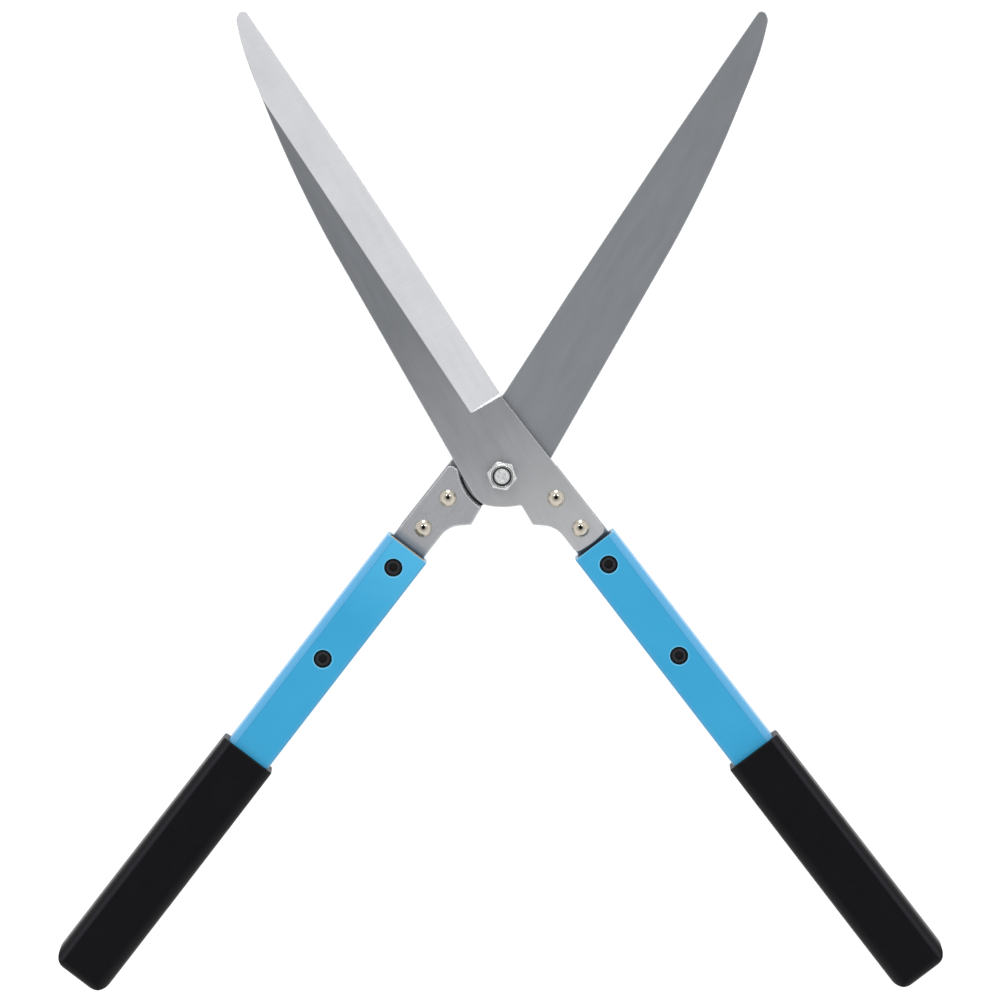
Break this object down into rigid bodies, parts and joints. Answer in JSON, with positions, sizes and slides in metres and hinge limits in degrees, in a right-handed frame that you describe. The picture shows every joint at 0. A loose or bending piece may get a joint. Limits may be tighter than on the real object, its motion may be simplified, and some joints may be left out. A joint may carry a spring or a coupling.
{
  "type": "hedge shears",
  "caption": "Hand hedge shears: two long ground blades crossing on a pivot bolt, each riveted to a tang plate in a painted tube handle with a rubber grip.",
  "frame": {"origin": "centre of the pivot bolt head's flat face, on the pivot axis", "axes": "+Z along the pivot axis toward the nut, +Y toward the blade tips, +X toward the right handle; the shears stand fully open"},
  "size_m": [0.4359, 0.482, 0.0246],
  "materials": {
    "blade_steel": "hardened blade steel, brushed lengthwise, with a ground bevel",
    "tang_steel": "bare plate steel, satin",
    "rivet_nickel": "nickel-plated, domed",
    "zinc_plating": "bright zinc plate",
    "black_nylon": "nylon",
    "spacer_steel": "mill finish",
    "black_oxide": "black oxide",
    "blue_paint": "glossy light blue powder coat",
    "black_rubber": "smooth matte black rubber"
  },
  "bodies": {
    "left_half": {"rear_blade": "blade_steel", "left_tang_plate": "tang_steel", "left_upper_rivet": "rivet_nickel", "left_lower_rivet": "rivet_nickel", "pivot_bolt": "zinc_plating", "pivot_washer": "zinc_plating", "pivot_nut": "zinc_plating", "nut_locking_ring": "black_nylon", "left_tube": "blue_paint", "left_front_spacer": "spacer_steel", "left_rear_spacer": "spacer_steel", "left_upper_screw": "black_oxide", "left_lower_screw": "black_oxide", "left_grip": "black_rubber"},
    "right_half": {"front_blade": "blade_steel", "right_tang_plate": "tang_steel", "right_upper_rivet": "rivet_nickel", "right_lower_rivet": "rivet_nickel", "right_tube": "blue_paint", "right_front_spacer": "spacer_steel", "right_rear_spacer": "spacer_steel", "right_upper_screw": "black_oxide", "right_lower_screw": "black_oxide", "right_grip": "black_rubber"}
  },
  "joints": [
    {"name": "blade_pivot", "type": "hinge", "parent": "left_half", "child": "right_half", "pos_m": [0, 0, 0.0105], "axis": [0, 0, -1], "range_deg": [0, 62]}
  ]
}
